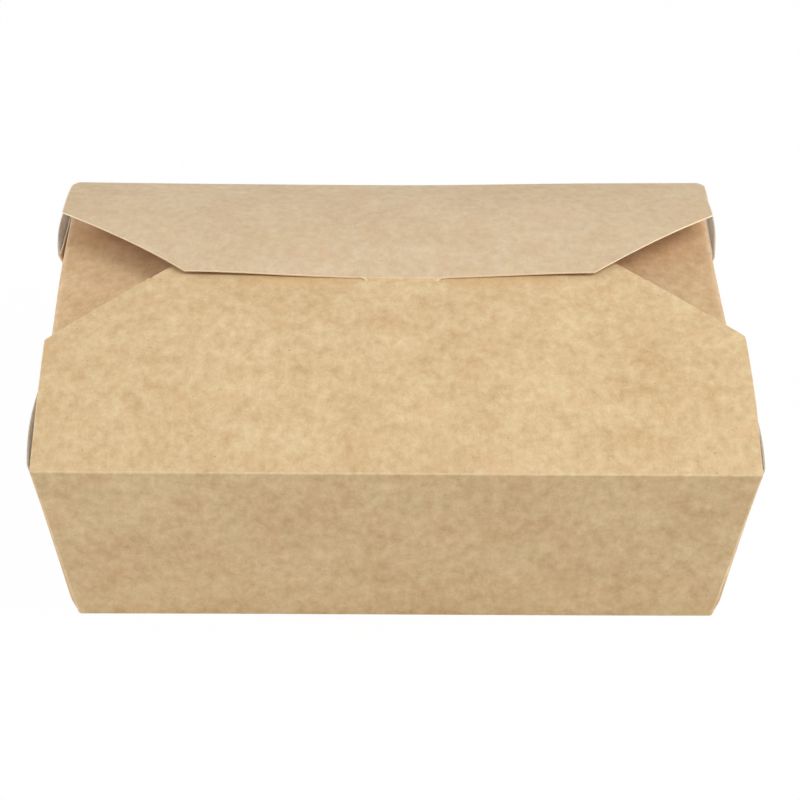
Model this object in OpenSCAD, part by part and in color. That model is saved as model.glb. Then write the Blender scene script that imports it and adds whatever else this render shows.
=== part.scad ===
// Folded takeaway carton: one creased sheet of board, shut by a tuck tab in a slit.
// Millimetres. X runs along the length, Y from front to back, Z up from the table.
// Heights and widths are taken on the outside of the board, as sharp corners.

/* [Tub] */
// Length of the base between its end folds
base_l = 197; // [150:1:240]
// Width of the base between its long folds
base_w = 140; // [115:1:180]
// Height of the flap creases above the table
wall_h = 65; // [50:1:90]
// How far each end wall leans out over its height
end_flare = 9; // [4:0.5:14]
// How far each long wall leans out over its height
side_flare = 10; // [4:0.5:14]
// Radius of the upright corners
corner_r = 1.2; // [0.8:0.1:3]

/* [Board] */
// Thickness of the board
board_t = 0.45; // [0.3:0.05:0.6]
// Inside radius of a creased fold
fold_in = 0.15; // [0.1:0.05:0.3]

/* [Arches] */
// Height of the front flap's arch above its crease
front_rise = 11.5; // [7:0.5:16]
// Distance from the middle of the box back to the highest line of the arches
crown_back = 15; // [6:1:22]
// How far the tucked tab presses the front flap down at the slit
press = 1.3; // [0.6:0.1:2]
// Half the width of the stretch that is pressed down
press_half = 55; // [35:1:75]
// How much the back flap's corners stand above the middle of its edge
edge_lift = 2.4; // [1.6:0.1:4]

/* [Front flap] */
// Distance in front of the middle at which the front flap's straight sides end
front_stop = 27.5; // [25:0.5:40]
// How far each rear corner of the front flap is cut in
front_chamfer = 46; // [25:1:55]
// Length of the strip behind the slit
front_tail = 16; // [10:0.5:25]
// Radius of the flaps' cut corners
cut_r = 1.5; // [0.5:0.1:4]

/* [Back flap] */
// Distance behind the middle of the box at which the back flap's free edge lies
free_y = 4.4; // [0:0.1:8]
// Distance behind the middle at which the back flap's straight sides end
back_stop = 42.4; // [34:0.1:46]
// How far each front corner of the back flap is cut in
back_chamfer = 42; // [25:1:55]
// Gap that stands for the crease between the back wall and its flap
crease_gap = 0.3; // [0.25:0.05:0.5]
// How far the ends of the back flap's crease are drawn in
root_draw = 2.2; // [1.5:0.1:4]

/* [Tab and slit] */
// Width of the tuck tab
tab_w = 23; // [16:0.5:30]
// Length of the tuck tab beyond the free edge
tab_l = 12; // [8:0.5:18]
// Radius of the fillets at the root of the tab
tab_fillet = 1.5; // [1:0.1:2.5]
// How far the slit runs past each side of the tab
slit_over = 4; // [3:0.5:6]
// Widest opening of the slit
slit_w = 1.4; // [1.2:0.1:2]
// Gap between the lapped flaps behind the slit
lap_gap = 0.3; // [0.2:0.05:0.6]
// Gap between the tab and the lip that it lies under
tab_gap = 0.25; // [0.2:0.05:0.6]
// Length of the lip that the tab lifts
lip_reach = 16; // [10:0.5:24]

/* [End flaps] */
// Reach of each end flap from its crease
end_reach = 58; // [35:1:70]
// Width of an end flap at its tip
end_tip = 34; // [16:1:60]
// Slope of an end flap at its crease
end_slope = 9.6; // [5:0.1:12]
// How far the tip of an end flap droops below that slope
end_droop = 3; // [1:0.1:5]
// Space between an end flap's root and the long walls
end_relief = 4; // [2:0.5:8]

/* [Corner gussets] */
// How far the outer leaf of a gusset springs away from the end wall
gusset_spring = 1.9; // [0.5:0.1:3]
// How far the inner leaf stands off the end wall at the top of the fold
fold_lift = 0.45; // [0.2:0.05:1]
// How far a gusset's cut edge lies below the creases
gusset_drop = 0.7; // [0.4:0.1:2]

/* [Hidden] */
kraft = [0.83, 0.72, 0.56];
kraft_lid = [0.80, 0.70, 0.56];
round_fn = 24;

// Outer radius of a fold, and the creases' sharp lines
fold_r = board_t + fold_in;
crease_x = base_l / 2 + end_flare;
crease_y = base_w / 2 + side_flare;
// Slopes of the walls
end_lean = end_flare / wall_h;
side_lean = side_flare / wall_h;
// The flaps are seated a hair below the tops of the creases' rolled beads
proud = 0.04;
// Smallest radius of an upright corner, on the inside of the board
least_r = 0.3;
seat_r = fold_r - proud;
// Centre lines of the beads
bead_z = wall_h - fold_r;
bead_x = base_l / 2 + bead_z * end_lean - fold_r;
bead_y = base_w / 2 + bead_z * side_lean - fold_r;

// Lengths of the long flaps' straight sides, and reach of the back flap
front_side = crease_y - front_stop;
back_side = crease_y - back_stop;
back_reach = crease_y - free_y;

// The slit opens a little in front of the back flap's free edge
slit_lead = 0.4;
slit_rear = free_y - slit_lead;
slit_front = slit_rear - slit_w;
slit_y = slit_rear - slit_w / 2;
slit_half = tab_w / 2 + slit_over;
tail_y = slit_y + front_tail;

function ease(v) = let (c = max(0, min(1, v))) c * c * (3 - 2 * c);
// Full at the middle of the slit and nothing from its ends outwards
function bell(x) = max(0, 1 - pow(abs(x) / slit_half, 4));

// Front flap: an arch that starts tangent to its bead, and is pressed down from this far ahead of the slit
press_run = 48;
front_tilt = atan(2 * front_rise / (crown_back + crease_y));
front_start = [-bead_y - seat_r * sin(front_tilt), bead_z + seat_r * cos(front_tilt)];
front_top = wall_h + front_rise;
function front_arch(y) = front_top
    - (front_top - front_start[1]) * pow((y - crown_back) / (crown_back - front_start[0]), 2);
function pressed(x, y) = press * pow(max(0, 1 - pow(x / press_half, 2)), 2)
    * ease((y - slit_y + press_run) / press_run);
function front_base(x, y) = front_arch(y) - pressed(x, y);

// Back flap: its edge laps the front flap, and its arch goes up from there to the crown
back_mid = front_base(0, free_y) + lap_gap + board_t;
back_edge = back_mid + edge_lift;
back_share = pow((free_y - crown_back) / (bead_y - crown_back), 2);
back_top = (back_edge - wall_h * back_share) / (1 - back_share);
back_tilt = atan(2 * (back_top - wall_h) / (bead_y - crown_back));
back_start = [bead_y + fold_r * sin(back_tilt), bead_z + fold_r * cos(back_tilt)];
function back_arch(y) = back_top
    - (back_top - back_start[1]) * pow((y - crown_back) / (back_start[0] - crown_back), 2);
// Distance from the hinge line at which the flap begins, clear of the bead in every pose
back_root = sqrt(pow(fold_r + crease_gap, 2) - pow(fold_in, 2));
function back_z(x, y, w) = back_arch(y) - edge_lift * pow(max(0, 1 - pow(x / w, 2)), 2)
    * pow((crease_y - y) / back_reach, 3);
// The tab dives a little more where it goes through the slit
tab_dive = 0.3;
free_half = crease_x - back_chamfer;
function tab_z(x, y) = back_z(x, y, free_half) - tab_dive * ease((free_y - y) / slit_w);

// The lip is lifted until it clears the tab at the tab's side edges
lip_top = tab_z(tab_w / 2, slit_front) + tab_gap + board_t;
lip_lift = (lip_top - front_base(tab_w / 2, slit_front)) / bell(tab_w / 2);
function lip_z(x, y) = front_base(x, y)
    + lip_lift * bell(x) * pow(max(0, (y - slit_front + lip_reach) / lip_reach), 2);

// Side outline of a flap: straight, then cut in to its free edge, with the two corners rounded
tip_cut = 0.6 * cut_r;
function side_w(d, side, chamfer, reach) =
    let (slant = chamfer / (reach - side))
    d <= side - cut_r ? crease_x :
    d < side + cut_r ? crease_x - slant * pow(d - side + cut_r, 2) / (4 * cut_r) :
    crease_x - slant * (d - side) - tip_cut * pow(max(0, d - reach + cut_r) / cut_r, 2);

// Columns of a flap's grid: close together across the tab or slit, then spread to the side edge
function columns(inner, n_in, outer, n_out) = concat(
    [for (j = [n_out:-1:1]) -inner - (outer - inner) * j / n_out],
    [for (j = [-n_in:n_in]) inner * j / n_in],
    [for (j = [1:n_out]) inner + (outer - inner) * j / n_out]);

// Grid of the lower face of a flap: each point goes down through the board, square to the arch
function lower_face(grid, arch) = [for (row = grid) [for (p = row)
    let (slope = arch(p[1] + 0.5) - arch(p[1] - 0.5))
    p - board_t * [0, -slope, 1] / norm([1, slope])]];

// A sheet of board between two grids of points. keep(i, j) says which cells are board.
module sheet(upper, lower, keep = function (i, j) true) {
    rows = len(upper);
    cols = len(upper[0]);
    under = rows * cols;
    function at(i, j) = i * cols + j;
    function on(i, j) = i >= 0 && j >= 0 && i < rows - 1 && j < cols - 1 && keep(i, j);
    // A wall from the upper to the lower grid, from point a to point b
    function wall(a, b) = [[a, b, b + under], [a, b + under, a + under]];
    faces = [for (i = [0:rows - 2], j = [0:cols - 2]) if (on(i, j))
        let (a = at(i, j), b = at(i, j + 1), c = at(i + 1, j + 1), d = at(i + 1, j))
        each concat(
            [[a, d, c], [a, c, b], [a + under, c + under, d + under], [a + under, b + under, c + under]],
            on(i - 1, j) ? [] : wall(a, b),
            on(i, j + 1) ? [] : wall(b, c),
            on(i + 1, j) ? [] : wall(c, d),
            on(i, j - 1) ? [] : wall(d, a))];
    polyhedron([for (row = upper, p = row) p, for (row = lower, p = row) p], faces);
}

// A closed solid through rings of points, lowest ring first
module loft(rings) {
    n = len(rings[0]);
    last = len(rings) - 1;
    polyhedron([for (ring = rings, p = ring) p], concat(
        [[for (k = [0:n - 1]) k]],
        [for (i = [0:last - 1], k = [0:n - 1])
            let (a = i * n + k, b = i * n + (k + 1) % n)
            each [[a, a + n, b + n], [a, b + n, b]]],
        [[for (k = [n - 1:-1:0]) last * n + k]]));
}

// A level rectangle with round corners
function round_ring(half_x, half_y, r, z, steps = 5) = [for (q = [0:3], s = [0:steps])
    let (a = 90 * (q + s / steps),
        cx = (q == 0 || q == 3 ? 1 : -1) * (half_x - r),
        cy = (q < 2 ? 1 : -1) * (half_y - r))
    [cx + r * cos(a), cy + r * sin(a), z]];

// Ring round the tub at height z: pull draws it in from the outside of the walls
function tub_ring(z, pull) = round_ring(
    base_l / 2 + z * end_lean - pull,
    base_w / 2 + z * side_lean - pull,
    max(least_r, corner_r - pull), z);

// Ring round the creases: a point of the bead's section, seen from its centre line
function bead_ring(a) = round_ring(bead_x + fold_r * cos(a), bead_y + fold_r * cos(a),
    corner_r + fold_r * (cos(a) - 1), bead_z + fold_r * sin(a));

// Base, walls and rolled creases: the rings climb the outside, turn over the bead and go down inside
module tub() {
    wall_pull = board_t * norm([1, end_lean]);
    inner_top = bead_z - fold_r * sin(acos(fold_in / fold_r));
    loft(concat(
        [for (a = [0:22.5:90]) tub_ring(fold_r * (1 - cos(a)), fold_r * (1 - sin(a)))],
        [for (a = [0:30:240]) bead_ring(a)],
        [tub_ring(inner_top, wall_pull)],
        [for (a = [90:-30:0])
            tub_ring(board_t + fold_in * (1 - cos(a)), wall_pull + fold_in * (1 - sin(a)))]));
}

// Front flap, in one sheet with the slit and its lifted lip
module front_flap() {
    reach = tail_y + crease_y;
    n_in = 6;
    n_out = 5;
    // Share of the slit's width that is left at its ends
    slit_end = 0.25;
    slant_start = cut_r - front_stop;
    lip_start = slit_front - lip_reach;
    // Rows of the grid, closest together where the outline turns and beside the slit
    front_ys = concat(
        [front_start[0]],
        [for (f = [0.11, 0.27, 0.46, 0.65, 0.84]) front_side * f - crease_y],
        [for (k = [-1:1]) k * cut_r - front_stop],
        [for (f = [0.25:0.25:1]) slant_start + (lip_start - slant_start) * f],
        [for (f = [0.35, 0.65, 0.88, 1]) lip_start + lip_reach * f]);
    tail_ys = concat(
        [for (f = [0, 0.12, 0.4, 0.7]) slit_rear + (tail_y - slit_rear) * f],
        [tail_y - cut_r, tail_y]);
    ys = concat(front_ys, tail_ys);
    last_lip = len(front_ys) - 1;
    // The two edges of the slit close up towards its ends
    function shut(x, i) = (i == last_lip ? 1 : i == last_lip + 1 ? -1 : 0) * slit_w / 2
        * (1 - max(slit_end, bell(x)));
    grid = [for (i = [0:len(ys) - 1])
        let (w = side_w(ys[i] + crease_y, front_side, front_chamfer, reach))
        [for (x = columns(slit_half, n_in, w, n_out))
            let (y = ys[i] + shut(x, i))
            [x, y, i <= last_lip ? lip_z(x, y) : front_base(x, y)]]];
    sheet(grid, lower_face(grid, function (y) front_arch(y)),
        function (i, j) !(i == last_lip && j >= n_out && j < n_out + 2 * n_in));
}

// Back flap with its tuck tab, on its own hinge line at the rear crease
module back_flap() {
    n_in = 5;
    n_out = 6;
    // How far each side of the tab draws in over its length, and how its tip is rounded
    tab_taper = 0.8;
    tip_round = 3;
    tab_ys = concat(
        [for (f = [0, 0.27, 1]) free_y - tab_l + tip_round * f],
        [for (f = [0.5, 0.2, 0]) free_y - tab_fillet - (tab_l - tab_fillet - tip_round) * f],
        [for (f = [0.6, 0.25]) free_y - tab_fillet * f]);
    root_y = back_start[0] - back_root * cos(back_tilt);
    slant = back_stop - free_y;
    // The ends of the crease are drawn in over this stretch of the sides
    draw_run = 3 * root_draw;
    ys = concat(
        tab_ys,
        [for (f = [0, 0.5, 1]) free_y + cut_r * f],
        [for (f = [0.14, 0.33, 0.53, 0.76]) free_y + slant * f],
        [for (k = [-1:1]) back_stop + k * cut_r],
        [for (f = [0.26, 0.52]) back_stop + back_side * f],
        [for (f = [1.4, 0.77, 0.43]) crease_y - f * draw_run],
        [root_y]);
    first = len(tab_ys);
    // Half the width of the tab: it tapers to round corners at its tip, with fillets at its root
    function tab_half(y) =
        let (from_root = free_y - y, rest = tab_l - from_root)
        from_root < tab_fillet ?
            tab_w / 2 + tab_fillet - sqrt(pow(tab_fillet, 2) - pow(tab_fillet - from_root, 2)) :
            tab_w / 2 - tab_taper * (from_root - tab_fillet) / (tab_l - tab_fillet)
                - tip_round * pow(max(0, 1 - rest / tip_round), 2);
    function drawn(y) = root_draw * pow(max(0, 1 - (root_y - y) / draw_run), 2);
    grid = [for (i = [0:len(ys) - 1])
        let (y = ys[i],
            w = side_w(crease_y - y, back_side, back_chamfer, back_reach) - drawn(y),
            inner = i < first ? tab_half(y) : tab_w / 2 + tab_fillet)
        [for (x = columns(inner, n_in, max(w, inner + 1), n_out))
            [x, y, i < first ? tab_z(x, y) : back_z(x, y, w)]]];
    color(kraft_lid)
        sheet(grid, lower_face(grid, function (y) back_arch(y)),
            function (i, j) i >= first || (j >= n_out && j < n_out + 2 * n_in));
}

// End flap on the +X side: it slopes in from its crease and lies under both long flaps
module end_flap() {
    tilt = end_slope;
    start = [bead_x + seat_r * sin(tilt), bead_z + seat_r * cos(tilt)];
    root_half = crease_y - end_relief;
    reaches = [for (f = [0, 0.12, 0.28, 0.46, 0.64, 0.82, 0.97, 1]) end_reach * f];
    function half(r) = root_half - (root_half - end_tip / 2) * r / end_reach
        - (r == end_reach ? tip_cut : 0);
    function slope(r) = tan(tilt) - 2 * end_droop * r / pow(end_reach, 2);
    function top(r) = [start[0] - r, start[1] + tan(tilt) * r - end_droop * pow(r / end_reach, 2)];
    grid = [for (k = [-4:4]) [for (r = reaches) let (p = top(r)) [p[0], half(r) * k / 4, p[1]]]];
    under = [for (k = [-4:4]) [for (r = reaches)
        let (p = top(r), n = [slope(r), 0, 1] / norm([1, slope(r)]))
        [p[0] - board_t * n[0], half(r) * k / 4, p[1] - board_t * n[2]]]];
    // The reaches run towards -X, so the grids change places
    sheet(under, grid);
}

// Angles of a gusset: the leaf between a corner and its fold, and the fold's lean from upright
end_corner = atan(side_flare / norm([wall_h, end_flare]));
side_corner = atan(end_flare / norm([wall_h, side_flare]));
leaf_angle = (90 - end_corner - side_corner) / 2;
fold_lean = leaf_angle - end_corner;
end_tilt = atan(end_lean);

// Point on the end wall at +X, by the rear corner: a towards the middle, b up the wall, d out from it
function on_end(a, b, d) = [base_l / 2 + b * sin(end_tilt) + d * cos(end_tilt),
    base_w / 2 - a, b * cos(end_tilt) - d * sin(end_tilt)];

leaf_top = (wall_h - gusset_drop) / cos(end_tilt);
leaf_hs = [0.1, 0.25, 0.42, 0.58, 0.74, 0.88, 1];
leaf_fs = [0, 0.04, 0.1, 0.2, 0.35, 0.5, 0.65, 0.8, 0.92, 1];
// The leaves begin at different heights, so their lower edges don't share a plane
outer_low = 0.03;
inner_low = 0.045;
// Half the gap between the leaves at the fold. Below slack_h the leaves close up and press together.
fold_slack = 0.03;
slack_h = 0.2;
fold_press = 3 * fold_slack;
function slack(h) = fold_slack - fold_press * max(0, 1 - h / slack_h);
// Distance of the fold's middle from the end wall: it starts in the face of the wall
fold_seat = 0.01;
function fold_mid(h) = (fold_lift + board_t + fold_slack + fold_seat) * h - fold_seat;
// Share of that distance that a leaf has reached, soon after the corner
rise_f = 0.2;
function leaf_rise(f) = 1 - pow(1 - min(1, f / rise_f), 2);
// Outer faces of the two leaves: the outer one springs away, the inner one bows a little.
// The spring comes late as the fold goes up, and leans towards the corner.
spring_late = 1.4;
spring_skew = 0.85;
inner_bow = 0.15;
function outer_leaf(f, h) = leaf_rise(f) * (fold_mid(h) + slack(h) + board_t)
    + gusset_spring * pow(h, spring_late) * sin(180 * pow(f, spring_skew));
function inner_leaf(f, h) = leaf_rise(f) * (fold_mid(h) - slack(h)) + inner_bow * h * sin(180 * f);
function leaf_point(f, h, d, root = 0) =
    let (b = h * leaf_top, corner = root - b * tan(end_corner), fold = b * tan(fold_lean))
    on_end(corner + (fold - corner) * f, b, d);

// Where each leaf is rooted inside the corner of the tub: along the end wall, and out from it
outer_root = corner_r * [0.3, -0.4];
inner_root = corner_r * [0.8, -0.1];

// One leaf of the gusset, from its root to the fold
module leaf(out, root, low) {
    hs = concat([low], leaf_hs);
    face = [for (f = leaf_fs) [for (h = hs) leaf_point(f, h, f == 0 ? root[1] : out(f, h), root[0])]];
    back = [for (f = leaf_fs) [for (h = hs)
        leaf_point(f, h, f == 0 ? root[1] - board_t / 2 : out(f, h) - board_t, root[0])]];
    sheet(face, back);
}

// Straight round bar from p to q
module bar(p, q, r) {
    way = q - p;
    translate(p) rotate([0, acos(way[2] / norm(way)), atan2(way[1], way[0])])
        cylinder(r = r, h = norm(way), $fn = round_fn);
}

// Web of a corner, doubled over along its middle and laid against the outside of the end wall
module gusset() {
    low = leaf_hs[0];
    // The rolled fold ends a hair below the cut edges
    high = 0.995;
    leaf(function (f, h) outer_leaf(f, h), outer_root, outer_low);
    leaf(function (f, h) inner_leaf(f, h), inner_root, inner_low);
    bar(leaf_point(1, low, fold_mid(low)), leaf_point(1, high, fold_mid(high)),
        board_t + fold_slack + proud);
}

// The folded sheet without its back flap: tub, gussets, end flaps and front flap are one piece
module carton() {
    color(kraft) union() {
        tub();
        front_flap();
        for (sx = [0, 1], sy = [0, 1]) mirror([sx, 0, 0]) mirror([0, sy, 0]) gusset();
        for (sx = [0, 1]) mirror([sx, 0, 0]) end_flap();
    }
}

carton();
back_flap();
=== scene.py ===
import math

import bmesh
import bpy
from mathutils import Matrix, Vector, noise


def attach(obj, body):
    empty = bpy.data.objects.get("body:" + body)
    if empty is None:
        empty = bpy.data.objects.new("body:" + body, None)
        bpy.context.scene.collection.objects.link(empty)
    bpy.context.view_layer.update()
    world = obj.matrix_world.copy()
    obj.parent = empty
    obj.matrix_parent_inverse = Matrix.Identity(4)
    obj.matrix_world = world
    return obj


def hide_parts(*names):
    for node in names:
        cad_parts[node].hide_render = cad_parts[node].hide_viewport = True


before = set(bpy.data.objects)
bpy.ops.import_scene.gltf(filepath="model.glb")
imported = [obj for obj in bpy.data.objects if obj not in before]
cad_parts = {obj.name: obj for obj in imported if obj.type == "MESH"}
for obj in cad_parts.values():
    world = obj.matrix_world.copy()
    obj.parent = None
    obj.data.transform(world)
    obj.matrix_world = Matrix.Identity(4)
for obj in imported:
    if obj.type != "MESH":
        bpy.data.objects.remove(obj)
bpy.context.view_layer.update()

# Sizes of the carton in millimetres, as the part's source has them
MM = 0.001
BASE_L, BASE_W, WALL_H = 197.0, 140.0, 65.0
END_FLARE, SIDE_FLARE = 9.0, 10.0
BOARD, FOLD_R, RIM_DROP = 0.45, 0.6, 0.7
FRONT_RISE, CROWN_BACK = 11.5, 15.0
PRESS, PRESS_HALF, PRESS_RUN = 1.3, 55.0, 48.0
EDGE_LIFT = 2.4
FRONT_STOP, FRONT_CHAMFER, FRONT_TAIL = 27.5, 46.0, 16.0
FREE_Y, BACK_STOP, BACK_CHAMFER = 4.4, 42.4, 42.0
TAB_W, TAB_L, TAB_FILLET, TAB_TAPER, TIP_ROUND, TAB_DIVE = 23.0, 12.0, 1.5, 0.8, 3.0, 0.3
SLIT_LEAD, SLIT_W, SLIT_OVER = 0.4, 1.4, 4.0
LAP_GAP, TAB_GAP, LIP_REACH = 0.3, 0.12, 16.0
END_REACH, END_TIP, END_SLOPE, END_DROOP, END_RELIEF = 58.0, 34.0, 9.6, 3.0, 4.0

# The creases, the lean of the walls and the middle of each rolled crease
CREASE_X = BASE_L / 2 + END_FLARE
CREASE_Y = BASE_W / 2 + SIDE_FLARE
END_LEAN = END_FLARE / WALL_H
SIDE_LEAN = SIDE_FLARE / WALL_H
END_TILT = math.atan(END_LEAN)
BEAD_Z = WALL_H - FOLD_R
BEAD_X = BASE_L / 2 + BEAD_Z * END_LEAN - FOLD_R
BEAD_Y = BASE_W / 2 + BEAD_Z * SIDE_LEAN - FOLD_R

# Where the long flaps' sides stop being straight, their free edges, and the slit
FRONT_SIDE = CREASE_Y - FRONT_STOP
BACK_SIDE = CREASE_Y - BACK_STOP
BACK_REACH = CREASE_Y - FREE_Y
SLIT_REAR = FREE_Y - SLIT_LEAD
SLIT_FRONT = SLIT_REAR - SLIT_W
SLIT_Y = SLIT_REAR - SLIT_W / 2
SLIT_HALF = TAB_W / 2 + SLIT_OVER
TAIL_Y = SLIT_Y + FRONT_TAIL
FRONT_REACH = TAIL_Y + CREASE_Y

# Radii of the base's folds and of the tub's upright corners, and the least radius where the two meet
BASE_R, CORNER_R, LEAST_R = 0.9, 0.9, 0.3


def ease(v):
    """0 below 0, 1 above 1, and smooth between them."""
    c = max(0.0, min(1.0, v))
    return c * c * (3 - 2 * c)


def dome(v, half, middle=0.0):
    """1 at the middle, and down to 0 at half on both sides of it."""
    return max(0.0, 1 - ((v - middle) / half) ** 2)


def fade(v, reach):
    """1 at 0, and straight down to 0 at the reach."""
    return max(0.0, 1 - v / reach)


def wander(x, y, reach, seed):
    """A slow, smooth unevenness between -1 and 1 that a pressed sheet has."""
    return noise.noise(Vector((x / reach, y / reach, seed)))


# The hand-folded carton: how it departs from the drawing, in millimetres
#
# Below, sx is -1 on the left and 1 on the right, and sy is -1 at the front and 1 at the rear.

# The left end wall bulges out. The right one is pushed in at its front, by a little more behind that, and by
# most around its middle
LEFT_BULGE, LEFT_BULGE_HALF, LEFT_BULGE_Y = 0.5, 40.0, 24.0
RIGHT_AT_FRONT, RIGHT_BEHIND, RIGHT_RUN = 0.4, 0.3, 60.0
RIGHT_PUSH, RIGHT_PUSH_HALF, RIGHT_PUSH_Y = 1.2, 86.0, 10.0

# The rear crease sags at its middle and rises from there to its right end
REAR_SAG, REAR_RISE, REAR_RISE_RUN = 0.6, 0.9, 75.0

# The front crease has sunk, by the skew more at its right end and less at its left. It carries the ends down
# with it, from this far in front of the middle
FRONT_SAG, FRONT_SAG_SKEW = 1.35, 0.4
CARRY_FROM, CARRY_RUN = 30.0, 45.0

# The upright corners are rounder at the base, by this much
CORNER_SWELL = 0.2

# The base has been pushed to the right, and to the front on its right
BASE_PUSH, BASE_TWIST, TWIST_HALF = 0.55, 0.9, 100.0

# Each gusset: how far its outer leaf bulges, how the bulge leans (above 1 towards the doubled fold, below 1
# towards the corner), and how far the fold stands off the end wall
GUSSETS = {
    (-1, -1): (1.5, 1.0, 0.98),
    (1, -1): (1.5, 1.05, 0.98),
    (-1, 1): (2.2, 1.1, 2.1),
    (1, 1): (2.15, 0.9, 1.0),
}

# The tab lies this far to the right, and so does the slit that it has pulled along
TAB_X = 2.3

# The round in the tab's right corner reaches this far, because it has been torn wider than the left one
HOOK_RIGHT = 3.4

# Around the tab the free edge lies this much closer to the front flap, and less and less up to this far out
NESTLE, NESTLE_HALF = 0.22, 75.0

# The front flap's right slanting edge starts this much further back than its left one
FRONT_ASKEW = 2.7

# The back flap's slanting edges are cut in by this much more than drawn
BACK_ASKEW_RIGHT, BACK_ASKEW_LEFT = 2.0, -0.6


def end_inset(sx, y):
    """How far the crease of an end wall has been pushed in, or below 0 has bulged out, at its top."""
    if sx < 0:
        return -LEFT_BULGE * dome(y, LEFT_BULGE_HALF, LEFT_BULGE_Y) ** 2
    push = RIGHT_PUSH * dome(y, RIGHT_PUSH_HALF, RIGHT_PUSH_Y) ** 2
    return RIGHT_AT_FRONT + RIGHT_BEHIND * ease((y + CREASE_Y) / RIGHT_RUN) + push


def rear_bow(x):
    """How far the rear crease has sunk, or below 0 has risen."""
    return REAR_SAG * dome(x, CREASE_X) - REAR_RISE * ease(x / REAR_RISE_RUN)


def front_drop(x):
    """How far the front crease has sunk: more to the right than to the left."""
    return FRONT_SAG + FRONT_SAG_SKEW * x / CREASE_X


def corner_drop(sx, y, h):
    """How far the front crease has carried a point of an end down. h is the share of the wall's height."""
    return front_drop(sx * CREASE_X) * ease((-y - CARRY_FROM) / CARRY_RUN) * h ** 3


def corner_radius(z):
    """Radius of an upright corner of the tub at the height z."""
    return CORNER_R + CORNER_SWELL * (1 - z / WALL_H) ** 3


def settled(x, y, z):
    """Where a point of the tub has gone with the pushed base. The creases stay where they are."""
    low = 1 - z / WALL_H
    return (x + BASE_PUSH * low, y - BASE_TWIST * low * ease((x + TWIST_HALF) / (2 * TWIST_HALF)), z)


def askew_tab(x, half):
    """Shifts a long flap's columns to the right: in full across the slit, and ever less beside it."""
    return x + TAB_X * min(1.0, (half - abs(x)) / (half - SLIT_HALF))


# The arched flaps: heights over the table, as functions of place

FRONT_TILT = math.atan(2 * FRONT_RISE / (CROWN_BACK + CREASE_Y))
FRONT_START = (-BEAD_Y - FOLD_R * math.sin(FRONT_TILT), BEAD_Z + FOLD_R * math.cos(FRONT_TILT))
FRONT_TOP = WALL_H + FRONT_RISE


def front_arch(y):
    """The front flap as an arch that nothing presses on."""
    share = (y - CROWN_BACK) / (CROWN_BACK - FRONT_START[0])
    return FRONT_TOP - (FRONT_TOP - FRONT_START[1]) * share ** 2


def front_base(x, y):
    """The front flap, with the dent where the back flap presses it down."""
    return front_arch(y) - PRESS * dome(x, PRESS_HALF) ** 2 * ease((y - SLIT_Y + PRESS_RUN) / PRESS_RUN)


BACK_EDGE = front_base(0, FREE_Y) + LAP_GAP + BOARD + EDGE_LIFT
BACK_SHARE = ((FREE_Y - CROWN_BACK) / (BEAD_Y - CROWN_BACK)) ** 2
BACK_TOP = (BACK_EDGE - WALL_H * BACK_SHARE) / (1 - BACK_SHARE)
BACK_TILT = math.atan(2 * (BACK_TOP - WALL_H) / (BEAD_Y - CROWN_BACK))
BACK_START = (BEAD_Y + FOLD_R * math.sin(BACK_TILT), BEAD_Z + FOLD_R * math.cos(BACK_TILT))


def back_arch(y):
    """The back flap as an arch that nothing pulls down."""
    share = (y - CROWN_BACK) / (BACK_START[0] - CROWN_BACK)
    return BACK_TOP - (BACK_TOP - BACK_START[1]) * share ** 2


def back_z(x, y, half):
    """The back flap, which the tab holds down at its middle and which lifts towards its ends, at half."""
    reach = (CREASE_Y - y) / BACK_REACH
    nestled = NESTLE * dome(x, NESTLE_HALF) * reach ** 6
    return back_arch(y) - EDGE_LIFT * dome(x, half) ** 2 * reach ** 3 - nestled


def tab_z(x, y):
    """The tab, which dives from the free edge into the slit."""
    return back_z(x, y, CREASE_X - BACK_CHAMFER) - TAB_DIVE * ease((FREE_Y - y) / SLIT_W)


def bell(x):
    """1 at the slit's middle, and down to 0 at its ends."""
    return max(0.0, 1 - (abs(x) / SLIT_HALF) ** 4)


LIP_TOP = tab_z(TAB_W / 2, SLIT_FRONT) + TAB_GAP + BOARD
LIP_LIFT = (LIP_TOP - front_base(TAB_W / 2, SLIT_FRONT)) / bell(TAB_W / 2)


def lip_z(x, y):
    """The front flap up to its slit, whose lip rises over the tab."""
    lift = LIP_LIFT * bell(x - TAB_X)
    return front_base(x, y) + lift * max(0.0, (y - SLIT_FRONT + LIP_REACH) / LIP_REACH) ** 2


def side_width(d, side, chamfer, reach, cut_r):
    """Half width of a flap at the distance d from its crease: straight, then cut in to the free edge."""
    slant = chamfer / (reach - side)
    if d <= side - cut_r:
        return CREASE_X
    if d < side + cut_r:
        return CREASE_X - slant * (d - side + cut_r) ** 2 / (4 * cut_r)
    return CREASE_X - slant * (d - side)


# Making a sheet of board

# A set of finishes has one for the outer side, one for the inner side and one for the edges
SIDES_IN_SET = 3

# Millimetres of board to one unit of the board's pattern, and the angle that still looks like a smooth bend
PATTERN_MM = 100
SMOOTH_BEND = math.radians(40)


def stations(*runs):
    """Values along one side of a grid. A run is (from, to, steps) and starts where the one before ends."""
    values = [runs[0][0]]
    for first, last, steps in runs:
        values += [first + (last - first) * k / steps for k in range(1, steps + 1)]
    return values


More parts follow.
